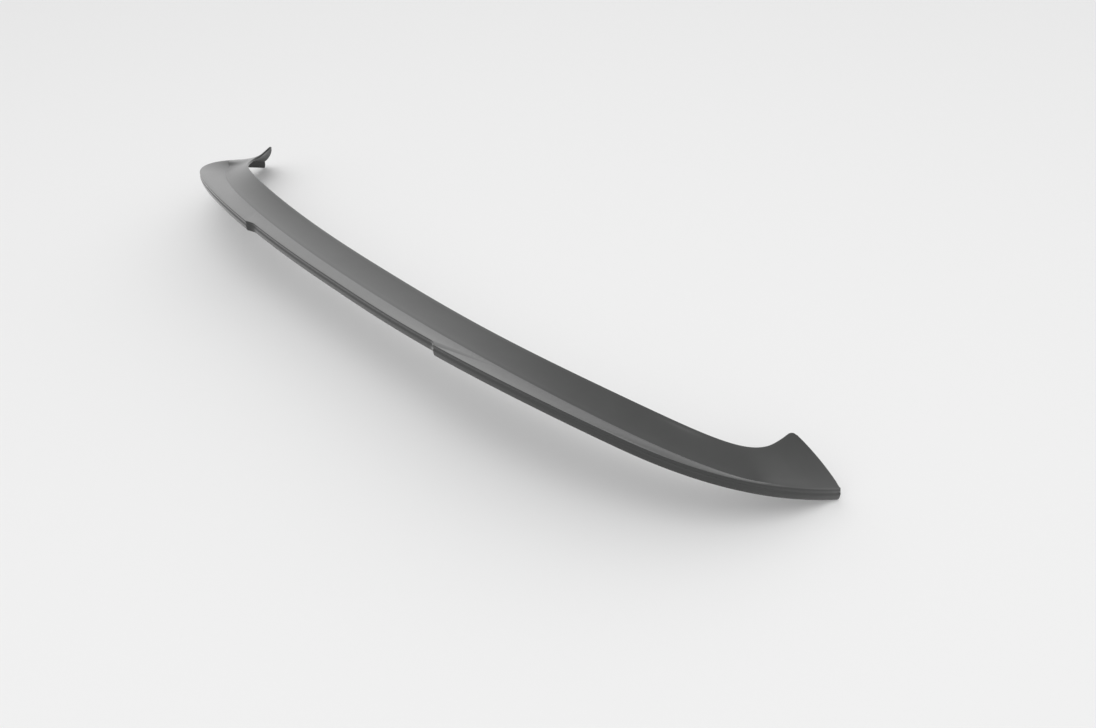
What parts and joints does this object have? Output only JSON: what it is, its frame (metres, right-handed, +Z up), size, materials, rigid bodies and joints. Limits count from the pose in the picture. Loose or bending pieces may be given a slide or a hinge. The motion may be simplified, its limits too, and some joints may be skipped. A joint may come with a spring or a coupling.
{
  "type": "rear spoiler",
  "caption": "Roof-edge rear spoiler: a thin moulded shell with a wide band, a kicked-up lip, a recessed trailing edge and ends that wrap forward and down as arms.",
  "frame": {"origin": "underside of the front edge on the centre plane, where the shell is bonded to the roof", "axes": "+X to the car's right, +Y forward along the roof, +Z up off the roof's surface"},
  "size_m": [1.195, 0.2245, 0.1249],
  "materials": {
    "shell_plastic": "satin dark grey, evenly moulded"
  },
  "bodies": {
    "root": {"spoiler_shell": "shell_plastic"}
  },
  "joints": []
}
